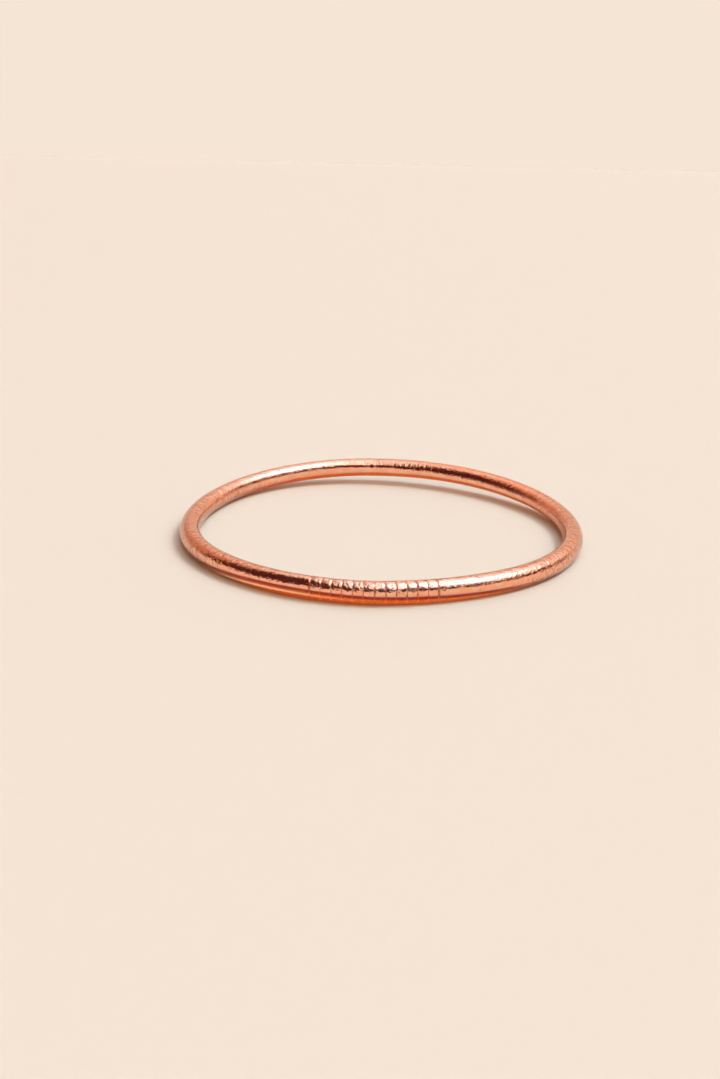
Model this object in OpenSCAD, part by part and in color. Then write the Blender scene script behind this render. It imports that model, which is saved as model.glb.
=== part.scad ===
// A thin bangle: a clear tube bent to a ring over a crinkled roll of copper leaf.
// The tube's two square ends butt at the front, over a short ribbed plug.
// It lies on its side, on its front, left and right. Its back stands a little off
// the surface. X is to the right, Y away from the joint and Z up. The origin is on
// the surface that it lies on, under the middle of the ring.

/* [Ring] */
// Nominal inside diameter of the ring
inside_d = 65; // [56:1:72]
// Angle at which the tube's two ends meet
joint_kink = 4; // [0:0.5:6]
// How far the ring's back stands off the surface
back_lift = 1.6; // [0:0.1:3]

/* [Clear tube] */
// Outside diameter of the tube
tube_d = 3.6; // [3:0.1:5]
// Thickness of the tube's wall
tube_wall = 0.45; // [0.3:0.05:0.6]
// Gap between the tube's butted ends
seam_gap = 0.1; // [0.05:0.05:0.2]

/* [Copper leaf] */
// Play between the tube's bore and the leaf
leaf_play = 0.05; // [0.04:0.01:0.1]
// Gap between each end of the leaf and the plug
end_gap = 0.1; // [0.05:0.05:0.3]

/* [Joint plug] */
// Play between the tube's bore and the plug's ribs
plug_play = 0.1; // [0.08:0.01:0.15]
// Ribs on each side of the seam
ribs_a_side = 6; // [3:1:8]
// Distance from one rib to the next
rib_pitch = 1.6; // [1.2:0.1:2]
// Width of the groove between two ribs
groove_w = 0.2; // [0.1:0.05:0.4]
// Depth of the groove between two ribs
groove_depth = 0.2; // [0.1:0.05:0.3]
// Radius that rounds the ribs' edges
rib_round = 0.12; // [0.05:0.01:0.15]

/* [Hidden] */

// Sides round the swept tube and leaf, steps in which the whole ring is swept,
// and the least that an end may lie from the step before it
SIDES = 16;
STEPS = 84;
MIN_STEP = 1;
// Fineness of the plug's round faces and of its ribs' rounded edges
PLUG_FN = 96;
EDGE_FN = 48;

tube_r = tube_d / 2;
bore_r = tube_r - tube_wall;
mean_r = (inside_d + tube_d) / 2;
plug_half = ribs_a_side * rib_pitch;

// The ring isn't quite round: the plug holds it straighter at the joint, and
// the tube bends more tightly beside each straighter stretch.
// A row for each stretch, anticlockwise from the joint as seen from above:
// how far it turns in degrees, and its bend radius as a share of mean_r.
// The two rows with a share of 0 get the radii that close the ring.
TURN = 0;
BEND = 1;
STRETCHES = [
    [30, 1.24],
    [30, 0.92],
    [30, 0.96],
    [30, 0.90],
    [30, 0],
    [30, 1.08],
    [30, 0.87],
    [30, 0],
    [30, 1.15],
    [30, 0.92],
    [30, 1.00],
    [30 - joint_kink, 0.95],
];
LAST = len(STRETCHES) - 1;
CLOSING = [for (i = [0 : LAST]) if (STRETCHES[i][BEND] == 0) i];

// The ring isn't quite flat either. It leaves the surface at one heading, is at its
// highest at the second, and is down again at the third.
LIFTS_AT = 80;
HIGHEST_AT = 160;
LANDS_AT = 265;

// Sum of the first n items of a list of numbers or points
function sum(list, n, zero = 0) = n == 0 ? zero : list[n - 1] + sum(list, n - 1, zero);

// Unit vector to the left of a heading: from the centreline to the bend's centre
function left(heading) = [-sin(heading), cos(heading)];

// The centreline's heading at each stretch's start, and after the last one, and
// each stretch's step from start to end at a bend radius of 1
turns = [for (stretch = STRETCHES) stretch[TURN]];
headings = [for (i = [0 : LAST + 1]) joint_kink / 2 + sum(turns, i)];
unit_steps = [for (i = [0 : LAST]) left(headings[i]) - left(headings[i + 1])];

// The two closing stretches take back what all the others step
others = sum([for (i = [0 : LAST]) unit_steps[i] * STRETCHES[i][BEND] * mean_r], LAST + 1, [0, 0]);
step_a = unit_steps[CLOSING[0]];
step_b = unit_steps[CLOSING[1]];
crossed = step_a[0] * step_b[1] - step_a[1] * step_b[0];
closing_a = (others[1] * step_b[0] - others[0] * step_b[1]) / crossed;
closing_b = (others[0] * step_a[1] - others[1] * step_a[0]) / crossed;
radii = [for (i = [0 : LAST])
    i == CLOSING[0] ? closing_a : i == CLOSING[1] ? closing_b : STRETCHES[i][BEND] * mean_r];

// Where each stretch starts, with the joint at [0, 0], and how long it is
full_steps = [for (i = [0 : LAST]) unit_steps[i] * radii[i]];
starts = [for (i = [0 : LAST]) sum(full_steps, i, [0, 0])];
lengths = [for (i = [0 : LAST]) radii[i] * turns[i] * PI / 180];
ring_length = sum(lengths, LAST + 1);

// The point of stretch i at a heading
function on_bend(i, heading) = starts[i] + (left(headings[i]) - left(heading)) * radii[i];

// The point of the ring at a heading
function facing(heading, i = 0) =
    i < LAST && heading > headings[i + 1] ? facing(heading, i + 1) : on_bend(i, heading);

// Middle of the ring: its right, back and left sides lie where it heads back,
// left and forwards, and its front lies at the joint
middle = [(facing(90)[0] + facing(270)[0]) / 2, facing(180)[1] / 2];

// The point of the centreline at a length from the joint, with its heading
POINT = 0;
HEADING = 1;
function place(length, i = 0) =
    i < LAST && length > lengths[i]
        ? place(length - lengths[i], i + 1)
        : let (heading = headings[i] + length / radii[i] * 180 / PI)
            [on_bend(i, heading) - middle, heading];

// How far the ring stands off the surface at a heading
function lift(heading) =
    let (
        rise = (heading - LIFTS_AT) / (HIGHEST_AT - LIFTS_AT),
        fall = (LANDS_AT - heading) / (LANDS_AT - HIGHEST_AT),
        share = max(0, min(rise, fall))
    )
        back_lift * (1 - cos(180 * share)) / 2;

// The places from one length to another, at the ring's even steps
function places(from, to) = [
    place(from),
    for (k = [1 : STEPS - 1])
        let (length = k * ring_length / STEPS)
            if (length > from + MIN_STEP && length < to - MIN_STEP) place(length),
    place(to)
];

// Points of an upright circle across the centreline at a place
function circle_at(spot, r) = [
    for (k = [0 : SIDES - 1])
        let (angle = k * 360 / SIDES, out = spot[POINT] - left(spot[HEADING]) * r * cos(angle))
            [out[0], out[1], tube_r + lift(spot[HEADING]) + r * sin(angle)]
];

// Quads that join each circle of points to the next, from the point number first
function skin(circles, first) = [
    for (i = [0 : circles - 2], k = [0 : SIDES - 1])
        let (a = first + i * SIDES, next = (k + 1) % SIDES)
            [a + k, a + next, a + SIDES + next, a + SIDES + k]
];

// Quads across an end, between circles of points that start at outer and inner
function end_ring(outer, inner) = [
    for (k = [0 : SIDES - 1])
        let (next = (k + 1) % SIDES)
            [outer + k, inner + k, inner + next, outer + next]
];

// The same faces seen from their other side
function flipped(faces) = [for (face = faces) [for (k = [len(face) - 1 : -1 : 0]) face[k]]];

// A solid rod of radius r along the centreline
module rod(from, to, r) {
    spots = places(from, to);
    circles = len(spots);
    front_end = [for (k = [0 : SIDES - 1]) k];
    back_end = [for (k = [0 : SIDES - 1]) (circles - 1) * SIDES + k];
    polyhedron(
        points = [for (spot = spots) each circle_at(spot, r)],
        faces = concat(skin(circles, 0), flipped([front_end]), [back_end])
    );
}

// An open pipe along the centreline
module pipe(from, to, outer_r, inner_r) {
    spots = places(from, to);
    circles = len(spots);
    inner = circles * SIDES;
    polyhedron(
        points = [
            for (spot = spots) each circle_at(spot, outer_r),
            for (spot = spots) each circle_at(spot, inner_r)
        ],
        faces = concat(
            skin(circles, 0),
            flipped(skin(circles, inner)),
            end_ring(0, inner),
            flipped(end_ring(inner - SIDES, 2 * inner - SIDES))
        )
    );
}

// The clear plastic tube, open from end to end
module clear_tube() {
    color([0.95, 0.80, 0.72, 0.4])
        pipe(seam_gap / 2, ring_length - seam_gap / 2, tube_r, bore_r);
}

// The roll of copper leaf, from one end of the plug round to the other
module leaf_roll() {
    color([0.80, 0.42, 0.28])
        rod(plug_half + end_gap, ring_length - plug_half - end_gap, bore_r - leaf_play);
}

// Places its children on the centreline with X along it. Lengths below 0 lie
// before the joint.
module along(length) {
    spot = place(length < 0 ? ring_length + length : length);
    translate(concat(spot[POINT], tube_r + lift(spot[HEADING])))
        rotate([0, 0, spot[HEADING]])
            children();
}

// One rib of the plug: a short barrel with rounded edges that lies along X
module rib(r) {
    half = (rib_pitch - groove_w) / 2;
    rotate([0, 90, 0])
        rotate_extrude($fn = PLUG_FN)
            union() {
                translate([0, -half])
                    square([r - rib_round, 2 * half]);
                translate([0, rib_round - half])
                    square([r, 2 * (half - rib_round)]);
                for (side = [-1, 1])
                    translate([r - rib_round, side * (half - rib_round)])
                        circle(r = rib_round, $fn = EDGE_FN);
            }
}

// The plug: a row of ribs on each side of the seam, with a neck between each two
module joint_plug() {
    rib_r = bore_r - plug_play;
    neck_l = rib_pitch / 2;
    last_rib = 2 * ribs_a_side - 1;
    color([0.86, 0.48, 0.32]) {
        for (i = [0 : last_rib])
            along((i + 0.5) * rib_pitch - plug_half)
                rib(rib_r);
        for (i = [1 : last_rib])
            along(i * rib_pitch - plug_half)
                rotate([0, 90, 0])
                    cylinder(h = neck_l, r = rib_r - groove_depth, center = true, $fn = PLUG_FN);
    }
}

clear_tube();
leaf_roll();
joint_plug();
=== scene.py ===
import math

import bpy
import numpy as np
from mathutils import Matrix, Vector


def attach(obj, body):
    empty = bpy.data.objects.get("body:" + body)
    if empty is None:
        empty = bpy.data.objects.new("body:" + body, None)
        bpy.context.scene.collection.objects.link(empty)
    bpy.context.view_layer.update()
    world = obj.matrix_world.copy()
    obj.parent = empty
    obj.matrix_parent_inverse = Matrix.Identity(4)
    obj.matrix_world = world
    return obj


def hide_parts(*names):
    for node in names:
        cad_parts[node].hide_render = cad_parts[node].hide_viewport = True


# A thin bangle that lies on its side: a clear plastic tube over a crinkled roll
# of copper leaf, with its two ends butted at the front over a short ribbed plug.
# All lengths are in metres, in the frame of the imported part.
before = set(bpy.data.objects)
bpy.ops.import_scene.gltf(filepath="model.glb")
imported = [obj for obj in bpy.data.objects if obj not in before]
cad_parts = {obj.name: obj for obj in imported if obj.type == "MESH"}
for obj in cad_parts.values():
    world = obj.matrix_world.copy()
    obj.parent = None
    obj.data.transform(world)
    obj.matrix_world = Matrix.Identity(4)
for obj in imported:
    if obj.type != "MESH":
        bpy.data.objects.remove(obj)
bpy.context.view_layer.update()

MM = 0.001

# The tube, and the gaps at its seam and at the plug's ends
TUBE_R = 1.8 * MM
WALL = 0.45 * MM
BORE_R = TUBE_R - WALL
SEAM_GAP = 0.04 * MM
END_GAP = 0.1 * MM

# The plug's ribs
RIBS = 12
RIB_PITCH = 1.6 * MM
PLUG_HALF = RIBS * RIB_PITCH / 2

# The centreline, anticlockwise from the joint as seen from above: how far each
# stretch turns in degrees, and its bend radius as a share of the mean radius.
# The two stretches with a share of 0 get the radii that close the ring.
MEAN_R = 34.3 * MM
JOINT_KINK = 4
STRETCHES = [
    (30, 1.24),
    (30, 0.92),
    (30, 0.96),
    (30, 0.90),
    (30, 0),
    (30, 1.08),
    (30, 0.87),
    (30, 0),
    (30, 1.15),
    (30, 0.92),
    (30, 1.00),
    (30 - JOINT_KINK, 0.95),
]

# How far the ring's back stands off the floor, and the headings in degrees at
# which it lifts, is at its highest and lands again
BACK_LIFT = 1.6 * MM
LIFTS_AT = 80
HIGHEST_AT = 160
LANDS_AT = 265


def to_left(heading):
    """The unit vector to the left of a heading, towards a bend's centre."""
    return np.array([-math.sin(heading), math.cos(heading)])


def closed_ring():
    """Headings, radii and starting points of the stretches, which end where they began."""
    headings = [math.radians(JOINT_KINK / 2)]
    for turn, _ in STRETCHES:
        headings.append(headings[-1] + math.radians(turn))
    steps = [to_left(a) - to_left(b) for a, b in zip(headings, headings[1:])]
    radii = [share * MEAN_R for _, share in STRETCHES]
    closing = [i for i, radius in enumerate(radii) if radius == 0]
    others = sum(step * radius for step, radius in zip(steps, radii))
    solved = np.linalg.solve(np.array([steps[i] for i in closing]).T, -others)
    for i, radius in zip(closing, solved):
        radii[i] = radius
    starts = [np.zeros(2)]
    for step, radius in zip(steps, radii):
        starts.append(starts[-1] + step * radius)
    return headings, radii, starts


HEADINGS, RADII, STARTS = closed_ring()
LENGTHS = [(b - a) * radius for a, b, radius in zip(HEADINGS, HEADINGS[1:], RADII)]
PLAN_LENGTH = sum(LENGTHS)


def facing(heading):
    """The point of the ring where it runs along a heading."""
    i = max(k for k in range(len(RADII)) if k == 0 or HEADINGS[k] < heading)
    return STARTS[i] + (to_left(HEADINGS[i]) - to_left(heading)) * RADII[i]


MIDDLE = np.array([
    (facing(math.radians(90))[0] + facing(math.radians(270))[0]) / 2,
    facing(math.radians(180))[1] / 2,
])


def lift(heading):
    """How far the ring stands off the floor where it runs along a heading."""
    degrees = math.degrees(heading)
    rise = (degrees - LIFTS_AT) / (HIGHEST_AT - LIFTS_AT)
    fall = (LANDS_AT - degrees) / (LANDS_AT - HIGHEST_AT)
    return BACK_LIFT * (1 - math.cos(math.pi * max(0, min(rise, fall)))) / 2


def place(length):
    """The point of the centreline at a length in plan from the joint, which may be below 0."""
    left_over = length % PLAN_LENGTH
    i = 0
    while i < len(LENGTHS) - 1 and left_over > LENGTHS[i]:
        left_over -= LENGTHS[i]
        i += 1
    heading = HEADINGS[i] + left_over / RADII[i]
    point = STARTS[i] + (to_left(HEADINGS[i]) - to_left(heading)) * RADII[i] - MIDDLE
    return Vector((point[0], point[1], TUBE_R + lift(heading)))


# The centreline's points, about 0.25 mm apart in plan, and its true length
LINE_STEPS = 852
LINE_STEP = PLAN_LENGTH / LINE_STEPS
LINE = [place(i * LINE_STEP) for i in range(LINE_STEPS + 1)]
RING_LENGTH = sum((b - a).length for a, b in zip(LINE, LINE[1:]))


# Hands on a piece

def in_edit_mode(piece):
    """Makes the piece the only one selected, and opens it in edit mode with nothing selected."""
    bpy.ops.object.select_all(action="DESELECT")
    bpy.context.view_layer.objects.active = piece
    piece.select_set(True)
    bpy.ops.object.mode_set(mode="EDIT")
    bpy.ops.mesh.select_all(action="DESELECT")


def out_of_edit_mode():
    bpy.ops.object.mode_set(mode="OBJECT")
    bpy.context.tool_settings.mesh_select_mode = (True, False, False)


def pick_points(piece, wanted):
    """Opens the piece in edit mode with the wanted points selected."""
    in_edit_mode(piece)
    bpy.ops.object.mode_set(mode="OBJECT")
    piece.data.vertices.foreach_set("select", wanted)
    bpy.ops.object.mode_set(mode="EDIT")


def pick_edges(piece, wanted):
    """Opens the piece in edit mode with the wanted edges selected."""
    bpy.context.tool_settings.mesh_select_mode = (False, True, False)
    in_edit_mode(piece)
    bpy.ops.object.mode_set(mode="OBJECT")
    piece.data.edges.foreach_set("select", wanted)
    bpy.ops.object.mode_set(mode="EDIT")


def points_of(piece):
    """The mesh's points, a row each."""
    points = np.zeros(len(piece.data.vertices) * 3)
    piece.data.vertices.foreach_get("co", points)
    return points.reshape(-1, 3)


def put_points(piece, points):
    piece.data.vertices.foreach_set("co", points.ravel())
    piece.data.update()


def add_pipe(name, radius, start, end, sides, fill):
    """A straight pipe along X from start to end, with its place in its mesh."""
    bpy.ops.object.select_all(action="DESELECT")
    bpy.ops.mesh.primitive_cylinder_add(
        vertices=sides,
        radius=radius,
        depth=end - start,
        end_fill_type=fill,
        location=((start + end) / 2, 0, 0),
        rotation=(0, math.pi / 2, 0),
    )
    piece = bpy.context.object
    piece.name = name
    bpy.ops.object.transform_apply(location=True, rotation=True, scale=True)
    return piece


def cut_lengthwise(piece, parts):
    """Cuts every edge that runs along X into equal parts, with a ring of edges at each cut."""
    edges = np.zeros(len(piece.data.edges) * 2, dtype=np.int64)
    piece.data.edges.foreach_get("vertices", edges)
    edges = edges.reshape(-1, 2)
    points = points_of(piece)
    across = points[edges[:, 0]] - points[edges[:, 1]]
    along_x = np.abs(across[:, 0]) > np.hypot(across[:, 1], across[:, 2])
    pick_edges(piece, along_x)
    bpy.ops.mesh.subdivide(number_cuts=parts - 1)
    out_of_edit_mode()


def extrude_along(distance):
    """Extrudes what is selected along X."""
    bpy.ops.mesh.extrude_region_move(TRANSFORM_OT_translate={"value": (distance, 0, 0)})


def finish_with(piece, kind, **settings):
    """Adds a modifier and applies it."""
    bpy.ops.object.select_all(action="DESELECT")
    bpy.context.view_layer.objects.active = piece
    piece.select_set(True)
    modifier = piece.modifiers.new(kind.lower(), kind)
    for name, value in settings.items():
        setattr(modifier, name, value)
    bpy.ops.object.modifier_apply(modifier=modifier.name)


def keep_unrolled(piece):
    """Keeps each point's straight place, in millimetres, for the materials to read."""
    layer = piece.data.attributes.new("unrolled", "FLOAT_VECTOR", "POINT")
    layer.data.foreach_set("vector", (points_of(piece) / MM).astype(np.float32).ravel())


def lay_round(piece, start):
    """Bends a straight piece round the ring. X of 0 is the joint.

    Start is the length from the joint at which the guide line begins, at or before the piece.
    """
    count = int((PLAN_LENGTH + 2 * PLUG_HALF) / LINE_STEP)
    line = bpy.data.curves.new("centreline", "CURVE")
    line.dimensions = "3D"
    line.twist_mode = "Z_UP"
    spline = line.splines.new("POLY")
    spline.points.add(count)
    for i in range(count + 1):
        spline.points[i].co = (*place(start + i * LINE_STEP), 1)
    guide = bpy.data.objects.new("centreline", line)
    bpy.context.scene.collection.objects.link(guide)
    points = points_of(piece)
    points[:, 0] -= start
    put_points(piece, points)
    finish_with(piece, "CURVE", object=guide, deform_axis="POS_X")
    bpy.data.objects.remove(guide)
    bpy.data.curves.remove(line)


def smooth(piece):
    bpy.ops.object.select_all(action="DESELECT")
    bpy.context.view_layer.objects.active = piece
    piece.select_set(True)
    bpy.ops.object.shade_smooth()


def close_seams(piece):
    """Merges doubled points and turns every face outwards."""
    in_edit_mode(piece)
    bpy.ops.mesh.select_all(action="SELECT")
    bpy.ops.mesh.remove_doubles(threshold=0.001 * MM)
    bpy.ops.mesh.normals_make_consistent(inside=False)
    out_of_edit_mode()


# Crinkles of the leaf

def crinkle(piece, kind, size, height, stretch):
    """Pushes a straight piece in and out by a pattern, as a row of its crinkles says."""
    pattern = bpy.data.textures.new("crinkle", kind)
    pattern.noise_scale = size
    if kind == "VORONOI":
        pattern.distance_metric = "MANHATTAN"
    guide = bpy.data.objects.new("crinkle_guide", None)
    guide.scale = (1, stretch, stretch)
    bpy.context.scene.collection.objects.link(guide)
    bpy.context.view_layer.update()
    finish_with(
        piece,
        "DISPLACE",
        texture=pattern,
        texture_coords="OBJECT",
        texture_coords_object=guide,
        strength=height,
        mid_level=0.5,
    )
    bpy.data.objects.remove(guide)
    bpy.data.textures.remove(pattern)


def keep_inside(piece, least, most):
    """Keeps a straight piece's points between two radii."""
    points = points_of(piece)
    reach = np.hypot(points[:, 1], points[:, 2])
    wanted = np.clip(reach, least, most)
    scale = np.where(reach > least / 2, wanted / np.maximum(reach, 1e-9), 1.0)
    points[:, 1] *= scale
    points[:, 2] *= scale
    put_points(piece, points)


def raised(points, middle, half):
    """1 at a middle along the straight piece, falling smoothly to 0 at half away from it."""
    away = (points[:, 0] - middle + RING_LENGTH / 2) % RING_LENGTH - RING_LENGTH / 2
    share = np.clip(1 - np.abs(away) / half, 0, 1)
    return (1 - np.cos(math.pi * share)) / 2


def lay_unevenly(piece):
    """Raises and sinks a straight piece in the tube, as LEAF_RISES says."""
    points = points_of(piece)
    for middle, half, height in LEAF_RISES:
        points[:, 2] += height * raised(points, middle, half)
    put_points(piece, points)


def blend(depth, stops):
    """Colours by depth, from stops of a depth and a colour each."""
    depths = [at for at, _ in stops]
    channels = zip(*(colour for _, colour in stops))
    return np.stack([np.interp(depth, depths, channel) for channel in channels], axis=1)


def spread(points, middle, half, gain):
    """As raised, but widened by a gain above 1 and cut off at 1, as a column."""
    return np.clip(gain * raised(points, middle, half), 0, 1)[:, None]


def keep_painted_under_light(piece, grooves=0):
    """Keeps the under side's painted shade, which the copper's colour is multiplied by, and its
    painted glow.

    Grooves is 1 at the points of a groove between two ribs, where the painted glow is stronger.
    """
    points = points_of(piece)
    down = -points[:, 2] / LEAF_R
    back = spread(points, *BACK_REACH)
    rises = sum(height * raised(points, middle, half) for middle, half, height in FRONT_RISES)
    # Painted shade: a dark red line with deep orange below it at the front, and deep orange at the
    # back
    depth = down + rises - FRONT_SHIFT
    front_painted_shade = spread(points, *FRONT_REACH) * (1 - blend(depth, FRONT_PAINTED_SHADE))
    tint = 1 - front_painted_shade - back * (1 - blend(down, BACK_PAINTED_SHADE))
    # Painted glow: below the front's line, at the back, in a bright streak left of the joint and
    # in the grooves
    glow = spread(points, *GLOW_REACH) * blend(depth, FRONT_PAINTED_GLOWS) + back * blend(down, BACK_PAINTED_GLOWS)
    off_streak = np.abs(depth - STREAK_DEPTH) / STREAK_HALF
    painted_streak = raised(points, *STREAK_REACH) * np.clip(1 - off_streak, 0, 1)
    glow += painted_streak[:, None] * np.array(PAINTED_STREAK_GLOW) + grooves * np.array(PAINTED_GROOVE_GLOW)
    for name, colours in (("painted_under_shade", tint), ("painted_under_glow", glow)):
        layer = piece.data.attributes.new(name, "FLOAT_COLOR", "POINT")
        filled = np.ones((len(points), 4), dtype=np.float32)
        filled[:, :3] = colours
        layer.data.foreach_set("color", filled.ravel())


# Pieces

# The leaf is pressed into the wall all round, so that the plastic shows it at the
# tube's full width. It lies a little higher in the tube round the joint and at the
# back's left, and lower at the back's right. A row for each rise: where along the
# tube it is greatest, how far it reaches each way, and its height.
LEAF_R = BORE_R + 0.17 * MM
LEAF_LOWEST = BORE_R + 0.01 * MM
LEAF_HIGHEST = BORE_R + 0.39 * MM
LEAF_RISES = [
    (0.0, 34 * MM, 0.22 * MM),
    (80 * MM, 36 * MM, -0.19 * MM),
    (125 * MM, 30 * MM, 0.12 * MM),
]

# Painted shade and painted glow on the under side of the leaf, by how far down the roll a
# point lies, in shares of the roll's radius. At the front a painted dark red shade line
# runs along the roll, with deep orange painted shade and a painted glow below it. Both
# lie higher to the left of the joint, as the rises say. The back has only deep orange
# painted shade and glow. Each reach is a middle along the tube, how far it goes each way,
# and a gain.
FRONT_REACH = (-4 * MM, 52 * MM, 1.7)
GLOW_REACH = (0, 40 * MM, 1.7)
BACK_REACH = (100 * MM, 62 * MM, 1.6)
FRONT_SHIFT = 0.44
FRONT_RISES = [(-13 * MM, 38 * MM, 0.88), (20 * MM, 26 * MM, 0.4)]
FRONT_PAINTED_SHADE = [
    (0.26, (1.0, 1.0, 1.0)),
    (0.34, (0.42, 0.035, 0.006)),
    (0.56, (0.42, 0.035, 0.006)),
    (0.74, (0.9, 0.5, 0.1)),
]
FRONT_PAINTED_GLOWS = [
    (0.56, (0.0, 0.0, 0.0)),
    (0.74, (0.32, 0.09, 0.004)),
    (0.92, (0.32, 0.09, 0.004)),
    (1.20, (0.2, 0.04, 0.0)),
]
BACK_PAINTED_SHADE = [
    (0.40, (1.0, 1.0, 1.0)),
    (0.58, (0.75, 0.45, 0.25)),
    (0.75, (0.8, 0.4, 0.15)),
]
BACK_PAINTED_GLOWS = [
    (0.50, (0.0, 0.0, 0.0)),
    (0.70, (0.25, 0.05, 0.003)),
]
# A painted glow in each groove between two ribs
PAINTED_GROOVE_GLOW = (0.28, 0.06, 0.03)
# A painted bright streak, a glow low on the roll left of the joint: its colour, its
# middle along the tube and how far it goes each way, and its depth and half its width in
# the same shares as above
PAINTED_STREAK_GLOW = (0.3, 0.7, 0.6)
STREAK_REACH = (-17 * MM, 17 * MM)
STREAK_DEPTH = 0.86
STREAK_HALF = 0.1

# How finely each piece is meshed: its sides, and the equal parts that it is cut into
# along its length, one cut after another
TUBE_SIDES = 64
TUBE_CUTS = (20, 18)
LEAF_SIDES = 64
LEAF_CUTS = (12, 11, 11)
RIB_SIDES = 96
RIB_CUTS = (16,)

# Crinkles that are pressed into the meshes. A row for each: its pattern, the pattern's
# size, how deep it goes, and how far it is drawn out across the tube.
LEAF_CRINKLES = [
    ("CLOUDS", 3 * MM, 0.02 * MM, 1.0),
    ("CLOUDS", 0.3 * MM, 0.024 * MM, 1.5),
    ("VORONOI", 0.5 * MM, 0.024 * MM, 1.0),
]
RIB_CRINKLES = [
    ("CLOUDS", 0.6 * MM, 0.03 * MM, 1.0),
    ("VORONOI", 0.7 * MM, 0.03 * MM, 1.0),
]

# How far the tube's cut ends are rounded, where faces meet at more than so many degrees
END_ROUNDING = 0.02 * MM
ROUNDED_FROM = 40

# The groove between two ribs, its neck as a share of the rib's radius, and how far a
# rib falls away to its edge: gently from its middle, and steeply near the edge
GROOVE = 0.06 * MM
NECK_SHARE = 0.99
GENTLE_FALL = 0.02 * MM
STEEP_FALL = 0.03 * MM


def make_tube():
    """The clear tube: a straight pipe that gets its wall, and is then laid round the ring."""
    start = SEAM_GAP / 2
    end = RING_LENGTH - SEAM_GAP / 2
    tube = add_pipe("plastic_tube", TUBE_R, start, end, TUBE_SIDES, "NOTHING")
    for parts in TUBE_CUTS:
        cut_lengthwise(tube, parts)
    close_seams(tube)
    finish_with(tube, "SOLIDIFY", thickness=WALL, offset=-1, use_even_offset=True)
    finish_with(
        tube,
        "BEVEL",
        width=END_ROUNDING,
        segments=2,
        limit_method="ANGLE",
        angle_limit=math.radians(ROUNDED_FROM),
    )
    smooth(tube)
    keep_unrolled(tube)
    lay_round(tube, 0)
    return tube


def make_leaf():
    """The copper leaf: a crinkled rod from one end of the plug round the ring to the other."""
    start = PLUG_HALF + END_GAP
    end = RING_LENGTH - PLUG_HALF - END_GAP
    leaf = add_pipe("copper_leaf", LEAF_R, start, end, LEAF_SIDES, "TRIFAN")
    for parts in LEAF_CUTS:
        cut_lengthwise(leaf, parts)
    smooth(leaf)
    for row in LEAF_CRINKLES:
        crinkle(leaf, *row)
    lay_unevenly(leaf)
    keep_inside(leaf, LEAF_LOWEST, LEAF_HIGHEST)
    keep_unrolled(leaf)
    # The leaf's under side gets painted shade and a painted glow
    keep_painted_under_light(leaf)
    lay_round(leaf, 0)
    return leaf


def make_plug():
    """The plug inside the joint: one rib, repeated along it and closed at both ends."""
    middle = RIB_PITCH / 2 - PLUG_HALF
    half = (RIB_PITCH - GROOVE) / 2
    rib = add_pipe("ribbed_plug", LEAF_R, middle - half, middle + half, RIB_SIDES, "NOTHING")
    for parts in RIB_CUTS:
        cut_lengthwise(rib, parts)
    # A rib is a low barrel: it falls away towards its two edges
    points = points_of(rib)
    share = np.clip(np.abs(points[:, 0] - middle) / half, 0, 1)
    fall = GENTLE_FALL * share**2 + STEEP_FALL * share**8
    reach = np.hypot(points[:, 1], points[:, 2])
    points[:, 1] *= (reach - fall) / reach
    points[:, 2] *= (reach - fall) / reach
    put_points(rib, points)
    # Its two open edges turn in to the neck, and meet the next rib's in the groove's middle
    for side in (-1, 1):
        edge = middle + side * half
        pick_points(rib, np.abs(points_of(rib)[:, 0] - edge) < 0.001 * MM)
        extrude_along(side * GROOVE * 0.3)
        bpy.ops.transform.resize(value=(1, NECK_SHARE, NECK_SHARE), center_override=(edge, 0, 0))
        extrude_along(side * GROOVE * 0.2)
        out_of_edit_mode()
    finish_with(
        rib,
        "ARRAY",
        count=RIBS,
        use_relative_offset=False,
        use_constant_offset=True,
        constant_offset_displace=(RIB_PITCH, 0, 0),
        use_merge_vertices=True,
        merge_threshold=0.005 * MM,
    )
    in_edit_mode(rib)
    bpy.ops.mesh.select_non_manifold()
    bpy.ops.mesh.edge_face_add()
    out_of_edit_mode()
    close_seams(rib)
    smooth(rib)
    for row in RIB_CRINKLES:
        crinkle(rib, *row)
    lay_unevenly(rib)
    keep_inside(rib, LEAF_LOWEST, LEAF_HIGHEST)
    keep_unrolled(rib)
    # A groove's points lie within half its width of its middle
    from_groove = (points_of(rib)[:, 0] - middle) % RIB_PITCH - RIB_PITCH / 2
    # The grooves get a painted glow on top of the under side's
    keep_painted_under_light(rib, grooves=(np.abs(from_groove) < 0.51 * GROOVE)[:, None])
    lay_round(rib, -PLUG_HALF - RIB_PITCH)
    return rib


# Materials

class Nodes:
    """Adds nodes to a tree and links them, left to right."""

    def __init__(self, tree):
        self.tree = tree
        self.tree.nodes.clear()
        self.count = 0

    def add(self, kind, inputs=None, **settings):
        node = self.tree.nodes.new(kind)
        node.location = (220 * self.count, 0)
        self.count += 1
        for name, value in settings.items():
            setattr(node, name, value)
        for name, value in (inputs or {}).items():
            socket = node.inputs[name]
            if isinstance(value, bpy.types.NodeSocket):
                self.tree.links.new(value, socket)
            else:
                socket.default_value = value
        return node


def new_material(name):
    material = bpy.data.materials.new(name)
    material.use_nodes = True
    return material, Nodes(material.node_tree)


def give(piece, material):
    piece.data.materials.clear()
    piece.data.materials.append(material)


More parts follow.
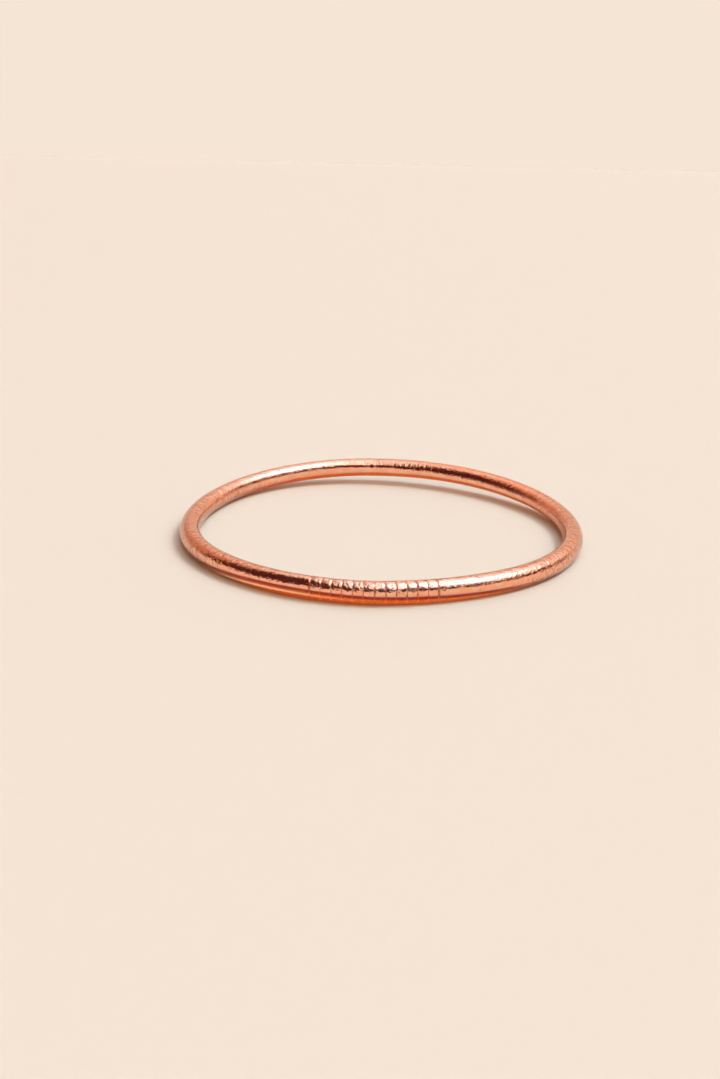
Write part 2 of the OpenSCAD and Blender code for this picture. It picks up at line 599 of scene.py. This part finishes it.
def crinkle_group():
    """Fine crinkles of beaten leaf: a height for the bump, and a mask of worn spots."""
    group = bpy.data.node_groups.new("leaf_crinkle", "ShaderNodeTree")
    group.interface.new_socket("Straight place", in_out="INPUT", socket_type="NodeSocketVector")
    group.interface.new_socket("Cells per mm", in_out="INPUT", socket_type="NodeSocketFloat")
    group.interface.new_socket("Height", in_out="OUTPUT", socket_type="NodeSocketFloat")
    group.interface.new_socket("Spots", in_out="OUTPUT", socket_type="NodeSocketFloat")
    nodes = Nodes(group)
    given = nodes.add("NodeGroupInput")
    place_at = given.outputs["Straight place"]
    cells = given.outputs["Cells per mm"]
    warp = nodes.add(
        "ShaderNodeTexNoise",
        {"Vector": place_at, "Scale": WARP_SCALE, "Detail": 2.0},
    )
    shifted = nodes.add(
        "ShaderNodeVectorMath",
        {0: warp.outputs["Color"], 1: WARP},
        operation="MULTIPLY",
    )
    warped = nodes.add(
        "ShaderNodeVectorMath",
        {0: place_at, 1: shifted.outputs["Vector"]},
        operation="ADD",
    )
    facets = nodes.add(
        "ShaderNodeTexVoronoi",
        {"Vector": warped.outputs["Vector"], "Scale": cells, "Randomness": 1.0},
        distance="MANHATTAN",
    )
    drawn_out = nodes.add(
        "ShaderNodeVectorMath",
        {0: warped.outputs["Vector"], 1: CREASE_STRETCH},
        operation="MULTIPLY",
    )
    creases = nodes.add(
        "ShaderNodeTexNoise",
        {"Vector": drawn_out.outputs["Vector"], "Scale": CREASE_SCALE, "Detail": 3.0},
    )
    grain = nodes.add(
        "ShaderNodeTexNoise",
        {"Vector": place_at, "Scale": GRAIN_SCALE, "Detail": 3.0},
    )
    coarse = nodes.add(
        "ShaderNodeMath",
        {0: facets.outputs["Distance"], 1: creases.outputs["Fac"]},
        operation="ADD",
    )
    height = nodes.add(
        "ShaderNodeMath",
        {0: grain.outputs["Fac"], 1: GRAIN_SHARE, 2: coarse.outputs["Value"]},
        operation="MULTIPLY_ADD",
    )
    blotches = nodes.add(
        "ShaderNodeTexNoise",
        {"Vector": place_at, "Scale": BLOTCH_SCALE, "Detail": 4.0},
    )
    least, most = BLOTCH_EDGE
    spots = nodes.add(
        "ShaderNodeMapRange",
        {"Value": blotches.outputs["Fac"], "From Min": least, "From Max": most},
    )
    nodes.add(
        "NodeGroupOutput",
        {"Height": height.outputs["Value"], "Spots": spots.outputs["Result"]},
    )
    return group


def copper_material(name, group, bump):
    """Bright crinkled copper, whose under side reads its painted shade and painted glow from the
    piece.
    """
    material, nodes = new_material(name)
    straight = nodes.add("ShaderNodeAttribute", attribute_name="unrolled")
    crinkles = nodes.add("ShaderNodeGroup", node_tree=group)
    material.node_tree.links.new(straight.outputs["Vector"], crinkles.inputs["Straight place"])
    crinkles.inputs["Cells per mm"].default_value = CELLS_PER_MM
    tone = nodes.add(
        "ShaderNodeMix",
        {"Factor": crinkles.outputs["Spots"], "A": COPPER, "B": COPPER_PALE},
        data_type="RGBA",
    )
    # The under side's painted shade, multiplied into the copper's colour
    tint = nodes.add("ShaderNodeAttribute", attribute_name="painted_under_shade")
    tone = nodes.add(
        "ShaderNodeMix",
        {"Factor": 1.0, "A": tone.outputs["Result"], "B": tint.outputs["Color"]},
        data_type="RGBA",
        blend_type="MULTIPLY",
    )
    # The under side's painted glow, given out as emission
    glow = nodes.add("ShaderNodeAttribute", attribute_name="painted_under_glow")
    shine = nodes.add(
        "ShaderNodeMapRange",
        {"Value": crinkles.outputs["Spots"], "To Min": SMOOTHEST, "To Max": ROUGHEST},
    )
    relief = nodes.add(
        "ShaderNodeBump",
        {"Height": crinkles.outputs["Height"], "Distance": bump, "Strength": 1.0},
    )
    shader = nodes.add(
        "ShaderNodeBsdfPrincipled",
        {
            "Base Color": tone.outputs["Result"],
            "Metallic": 1.0,
            "Roughness": shine.outputs["Result"],
            "Normal": relief.outputs["Normal"],
            "Emission Color": glow.outputs["Color"],
            "Emission Strength": 1.0,
        },
    )
    nodes.add("ShaderNodeOutputMaterial", {"Surface": shader.outputs["BSDF"]})
    return material


def plastic_material():
    """Clear plastic that takes some green and more blue out of the light in it."""
    material, nodes = new_material("clear_plastic")
    straight = nodes.add("ShaderNodeAttribute", attribute_name="unrolled")
    haze = nodes.add(
        "ShaderNodeTexNoise",
        {"Vector": straight.outputs["Vector"], "Scale": HAZE_SCALE, "Detail": 4.0},
    )
    dull = nodes.add(
        "ShaderNodeMapRange",
        {"Value": haze.outputs["Fac"], "To Min": 0.0, "To Max": PLASTIC_ROUGHEST},
    )
    shader = nodes.add(
        "ShaderNodeBsdfPrincipled",
        {
            "Base Color": (1.0, 1.0, 1.0, 1.0),
            "Roughness": dull.outputs["Result"],
            "IOR": PLASTIC_IOR,
            "Transmission Weight": 1.0,
        },
    )
    tint = nodes.add(
        "ShaderNodeVolumeAbsorption",
        {"Color": PLASTIC_TINT, "Density": PLASTIC_DENSITY},
    )
    nodes.add(
        "ShaderNodeOutputMaterial",
        {"Surface": shader.outputs["BSDF"], "Volume": tint.outputs["Volume"]},
    )
    return material


# The leaf's two tones, its roughness at its smoothest and roughest, how fine its
# facets are, and how deep the finest crinkles are on the leaf and on the ribs
COPPER = (1.0, 0.54, 0.37, 1.0)
COPPER_PALE = (1.0, 0.63, 0.48, 1.0)
SMOOTHEST = 0.015
ROUGHEST = 0.045
CELLS_PER_MM = 2.6
LEAF_BUMP = 0.015 * MM
RIB_BUMP = 0.018 * MM

# The copper's fine crinkles. The scales are in patterns for each millimetre. The warp
# bends the facets and the creases, and the creases are drawn out across the tube. The
# blotches of worn leaf go from none to full between two shares of their pattern.
WARP_SCALE = 1.1
WARP = (0.6, 0.6, 0.6)
CREASE_SCALE = 3.2
CREASE_STRETCH = (1.0, 0.25, 0.25)
GRAIN_SCALE = 5.0
GRAIN_SHARE = 0.5
BLOTCH_SCALE = 0.55
BLOTCH_EDGE = (0.42, 0.62)

# The plastic's warm tint, how strong it is for each metre of plastic, how much it bends
# light, its roughness where it is haziest, and the haze's patterns for each millimetre
PLASTIC_TINT = (0.975, 0.55, 0.2, 1.0)
PLASTIC_DENSITY = 0.7 / MM
PLASTIC_IOR = 1.5
PLASTIC_ROUGHEST = 0.01
HAZE_SCALE = 0.8

# The colours of the floor, and of the room's parts, which the bangle mirrors
FLOOR_COLOUR = (0.605, 0.603, 0.497, 1.0)
ROOM_LOW = (0.915, 0.785, 0.66, 1.0)
ROOM_DARK = (0.08, 0.022, 0.022, 1.0)
ROOM_BACK_LOW = (1.0, 0.72, 0.53, 1.0)
ROOM_BACK_HIGH = (1.1, 0.98, 0.95, 1.0)
ROOM_BACK_LEFT = (0.65, 0.35, 0.25, 1.0)
ROOM_CEILING_NEAR = (1.4, 1.4, 1.5, 1.0)
ROOM_CEILING_FAR = (1.0, 0.95, 0.95, 1.0)
ROOM_SOFTBOX = (1.75, 1.65, 2.1, 1.0)
ROOM_LAMP = (14.0, 14.0, 14.2, 1.0)

# Edges of the room's parts: where a part begins, and where it is full. The low part
# goes by a direction's height, from 0 at the horizon to 1 overhead. The ceiling and the
# softbox go by where the direction meets a ceiling at a height of 1: their left, right,
# near and far edges. The back goes by how far the direction turns to the back and how
# far back it meets that ceiling, and its colours by height and from left to right.
LOW_EDGE = (0.165, 0.135)
BACK_TURN_EDGE = (0.42, 0.53)
BACK_CEILING_EDGE = (0.37, 0.48)
BACK_HEIGHT_EDGE = (0.4, 0.65)
BACK_LEFT_EDGE = (-0.55, -0.1)
CEILING_EDGES = ((-0.25, -0.13), (2.0, 1.7), (-1.03, -0.92), (1.7, 1.4))
CEILING_FADE = (0.2, 1.1)
SOFTBOX_EDGES = ((0.12, 0.23), (1.1, 1.0), (-0.56, -0.49), (0.88, 0.77))
LAMP_DIRECTION = (0.503, -0.03, 0.864)
# The lamp's wide faint ring and its bright middle, by the cosine of the angle to it,
# with the ring's share
LAMP_RING = (0.92, 0.97)
LAMP_MIDDLE = (0.975, 0.988)
RING_SHARE = 0.02

# Two lamps that stand for the light that the copper throws on the floor. A row for
# each: its name, its direction, its width as an angle in degrees, and its strength.
COPPER_FILL = (1.0, 0.5, 0.33)
FILLS = [
    ("left_fill", (-0.45, -0.7, 0.55), 50, 0.9),
    ("right_fill", (0.35, -0.8, 0.5), 50, 0.8),
]


def make_floor():
    """A pale sheet that runs to the horizon, where the room has the same colour."""
    bpy.ops.object.select_all(action="DESELECT")
    bpy.ops.mesh.primitive_plane_add(size=12, location=(0, 0, 0))
    floor = bpy.context.object
    floor.name = "floor"
    material, nodes = new_material("floor_paper")
    shader = nodes.add(
        "ShaderNodeBsdfPrincipled",
        {"Base Color": FLOOR_COLOUR, "Roughness": 0.8, "Specular IOR Level": 0.2},
    )
    nodes.add("ShaderNodeOutputMaterial", {"Surface": shader.outputs["BSDF"]})
    give(floor, material)


def make_fills():
    """Far round lamps that light the floor and aren't seen in the bangle."""
    for name, direction, width, strength in FILLS:
        light = bpy.data.lights.new(name, "SUN")
        light.angle = math.radians(width)
        light.energy = strength
        light.color = COPPER_FILL
        lamp = bpy.data.objects.new(name, light)
        lamp.visible_glossy = False
        lamp.visible_transmission = False
        bpy.context.scene.collection.objects.link(lamp)
        lamp.rotation_euler = Vector(direction).normalized().to_track_quat("Z", "Y").to_euler()


def make_room():
    """A dark room with a pale low part, back and ceiling, and a softbox with a lamp in it."""
    world = bpy.data.worlds.new("room")
    bpy.context.scene.world = world
    world.use_nodes = True
    nodes = Nodes(world.node_tree)

    def math_of(operation, a, b=0.0):
        return nodes.add("ShaderNodeMath", {0: a, 1: b}, operation=operation).outputs["Value"]

    def ramp(value, edge):
        """0 up to the edge's start and 1 from its end on, which may lie below the start."""
        start, end = edge
        node = nodes.add(
            "ShaderNodeMapRange",
            {"Value": value, "From Min": start, "From Max": end},
        )
        return node.outputs["Result"]

    def mixed(share, below, above):
        node = nodes.add(
            "ShaderNodeMix",
            {"Factor": share, "A": below, "B": above},
            data_type="RGBA",
        )
        return node.outputs["Result"]

    look = nodes.add("ShaderNodeTexCoord")
    parts = nodes.add("ShaderNodeSeparateXYZ", {"Vector": look.outputs["Generated"]})
    x, y, z = (parts.outputs[axis] for axis in "XYZ")
    # How level a direction is, and its height, which stays above 0 so that it divides
    level = math_of("SQRT", math_of("SUBTRACT", 1.0, math_of("MULTIPLY", z, z)))
    height = math_of("MAXIMUM", z, 0.001)
    ceiling_x = math_of("DIVIDE", x, height)
    ceiling_y = math_of("DIVIDE", y, height)

    def on_ceiling(edges):
        """1 between the left, right, near and far edges."""
        left, right, near, far = edges
        across = math_of("MULTIPLY", ramp(ceiling_x, left), ramp(ceiling_x, right))
        along = math_of("MULTIPLY", ramp(ceiling_y, near), ramp(ceiling_y, far))
        return math_of("MULTIPLY", across, along)

    turned_back = ramp(math_of("DIVIDE", y, level), BACK_TURN_EDGE)
    back = math_of("MULTIPLY", turned_back, ramp(ceiling_y, BACK_CEILING_EDGE))
    back_colour = mixed(ramp(z, BACK_HEIGHT_EDGE), ROOM_BACK_LOW, ROOM_BACK_HIGH)
    back_colour = mixed(ramp(x, BACK_LEFT_EDGE), ROOM_BACK_LEFT, back_colour)
    lit = mixed(ramp(z, LOW_EDGE), mixed(back, ROOM_DARK, back_colour), ROOM_LOW)
    ceiling = mixed(ramp(ceiling_y, CEILING_FADE), ROOM_CEILING_NEAR, ROOM_CEILING_FAR)
    lit = mixed(on_ceiling(CEILING_EDGES), lit, ceiling)
    lit = mixed(on_ceiling(SOFTBOX_EDGES), lit, ROOM_SOFTBOX)
    towards_lamp = nodes.add(
        "ShaderNodeVectorMath",
        {0: look.outputs["Generated"], 1: LAMP_DIRECTION},
        operation="DOT_PRODUCT",
    ).outputs["Value"]
    ring = math_of("MULTIPLY", ramp(towards_lamp, LAMP_RING), RING_SHARE)
    middle = math_of("MULTIPLY", ramp(towards_lamp, LAMP_MIDDLE), 1 - RING_SHARE)
    lit = mixed(math_of("ADD", ring, middle), lit, ROOM_LAMP)
    sky = nodes.add("ShaderNodeBackground", {"Color": lit})
    nodes.add("ShaderNodeOutputWorld", {"Surface": sky.outputs["Background"]})


# The camera's height angle, turn and roll in degrees, the ring's middle in its own
# axes, and its lens in millimetres
ELEVATION = 18.67
TURN = 1.08
ROLL = 1.36
RING_IN_VIEW = Vector((3.853, 2.728, -207.75)) * MM
LENS = 38.49


def make_camera():
    camera = bpy.data.cameras.new("camera")
    camera.sensor_fit = "VERTICAL"
    camera.sensor_height = 36
    camera.lens = LENS
    camera.clip_start = 0.01
    holder = bpy.data.objects.new("camera", camera)
    bpy.context.scene.collection.objects.link(holder)
    turned = (
        Matrix.Rotation(math.radians(-TURN), 3, "Z")
        @ Matrix.Rotation(math.radians(90 - ELEVATION), 3, "X")
        @ Matrix.Rotation(math.radians(ROLL), 3, "Z")
    )
    spot = Vector((0, 0, TUBE_R)) - turned @ RING_IN_VIEW
    holder.matrix_world = Matrix.Translation(spot) @ turned.to_4x4()
    bpy.context.scene.camera = holder


make_camera()
make_floor()
make_room()
make_fills()
bpy.context.scene.view_settings.view_transform = "Standard"

tube = make_tube()
leaf = make_leaf()
plug = make_plug()

crinkles = crinkle_group()
give(tube, plastic_material())
give(leaf, copper_material("copper_leaf", crinkles, LEAF_BUMP))
give(plug, copper_material("ribbed_leaf", crinkles, RIB_BUMP))

for piece, node, slot in (
    (tube, "clear_tube", "clear_tube"),
    (leaf, "leaf_roll", "copper_leaf"),
    (plug, "joint_plug", "ribbed_leaf"),
):
    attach(piece, "root")
    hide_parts(node)
